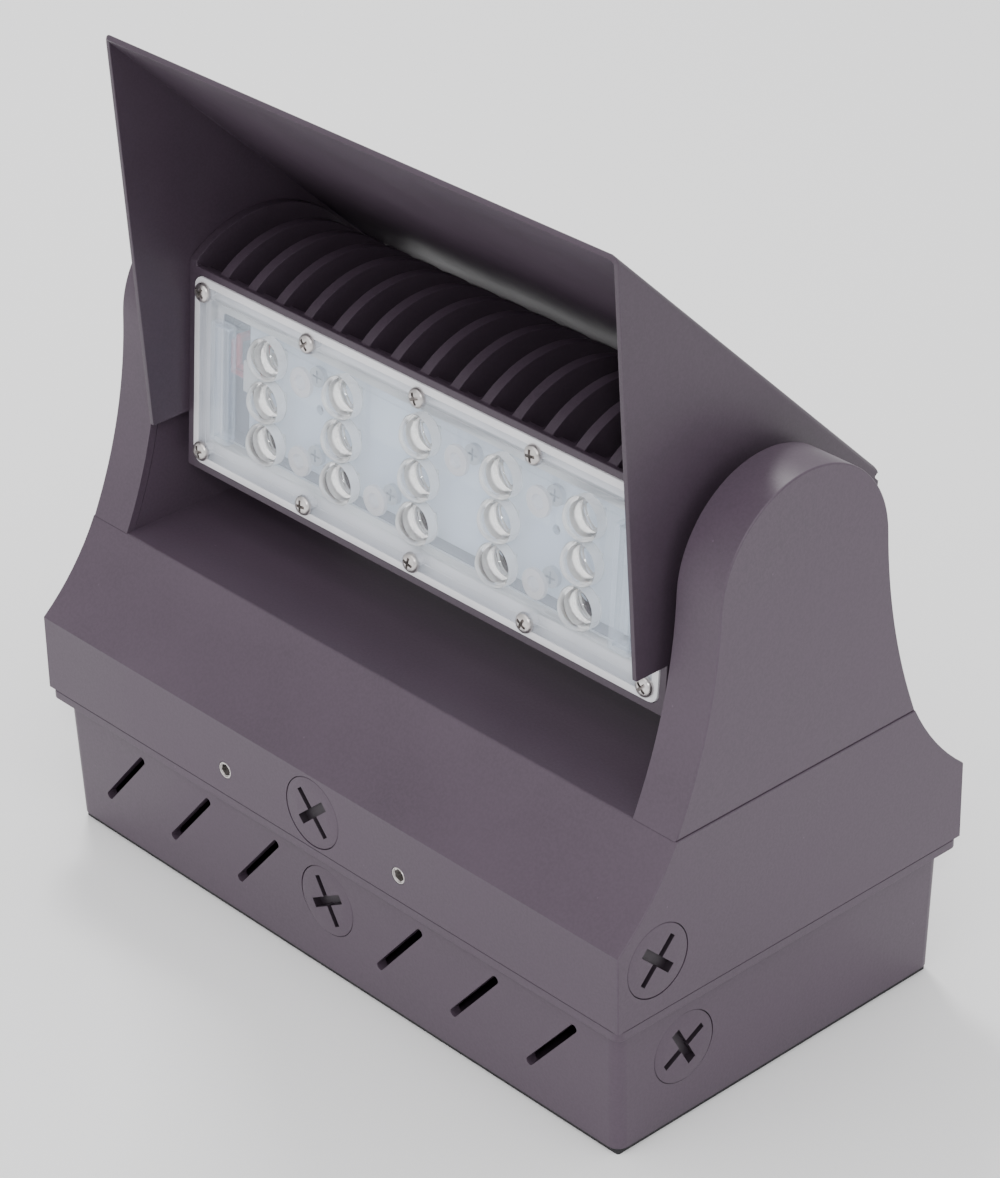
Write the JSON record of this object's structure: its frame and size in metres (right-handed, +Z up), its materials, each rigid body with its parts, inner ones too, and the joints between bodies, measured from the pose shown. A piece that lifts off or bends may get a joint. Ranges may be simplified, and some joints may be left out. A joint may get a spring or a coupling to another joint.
{
  "type": "wall pack light",
  "caption": "Outdoor wall light: a cast housing on a back box, with a finned LED head under a hood that tilts between two arms.",
  "frame": {"origin": "centre of the wall face, in the plane where the gasket meets the wall", "axes": "+Z points out from the wall, -Y is the LED side and points down once the light is on its wall, +X is to the right as seen from the LED side with +Z up the page"},
  "size_m": [0.232, 0.1274, 0.2428],
  "materials": {
    "bronze_casting": "fine-textured dark bronze powder coat on die-cast aluminium",
    "bronze_sheet": "fine-textured dark bronze powder coat on aluminium sheet",
    "foam": "matte",
    "nylon": "matte",
    "stainless": "bright",
    "zinc_screws": "zinc plated",
    "clear_lens": "clear polycarbonate with a frosted flange",
    "white_board": "white solder mask",
    "led_phosphor": "phosphor under clear silicone",
    "white_plastic": "matte",
    "lead_sheath": "smooth PVC",
    "driver_case": "matte",
    "nut_plastic": "smooth",
    "ground_green": "green dyed"
  },
  "bodies": {
    "base": {"wall_gasket": "foam", "back_box": "bronze_casting", "joint_gasket": "foam", "housing": "bronze_casting", "housing_set_screws": "stainless", "housing_entry_plugs": "bronze_casting", "box_entry_plugs": "bronze_casting", "left_arm_bracket": "bronze_casting", "right_arm_bracket": "bronze_casting", "left_arm_cover": "bronze_casting", "right_arm_cover": "bronze_casting", "arm_bolts": "zinc_screws", "cover_screws": "zinc_screws", "friction_washers": "nylon", "pivot_washers": "zinc_screws", "arm_leads": "lead_sheath", "lead_grommet": "foam", "driver": "driver_case", "driver_screws": "zinc_screws", "supply_leads": "lead_sheath", "wire_connectors": "nut_plastic", "ground_screw": "ground_green"},
    "head": {"pivot_sleeves": "zinc_screws", "pivot_nuts": "zinc_screws", "heatsink": "bronze_casting", "hood": "bronze_sheet", "hood_screws": "zinc_screws", "lens_plate": "clear_lens", "lens_gasket": "foam", "lens_screws": "stainless", "led_board": "white_board", "led_chips": "led_phosphor", "board_screws": "stainless", "led_connector": "white_plastic", "head_leads": "lead_sheath"}
  },
  "joints": [
    {"name": "head_tilt", "type": "hinge", "parent": "base", "child": "head", "pos_m": [0, 0, 0.149], "axis": [-1, 0, 0], "range_deg": [-4.8, 85.2]}
  ]
}
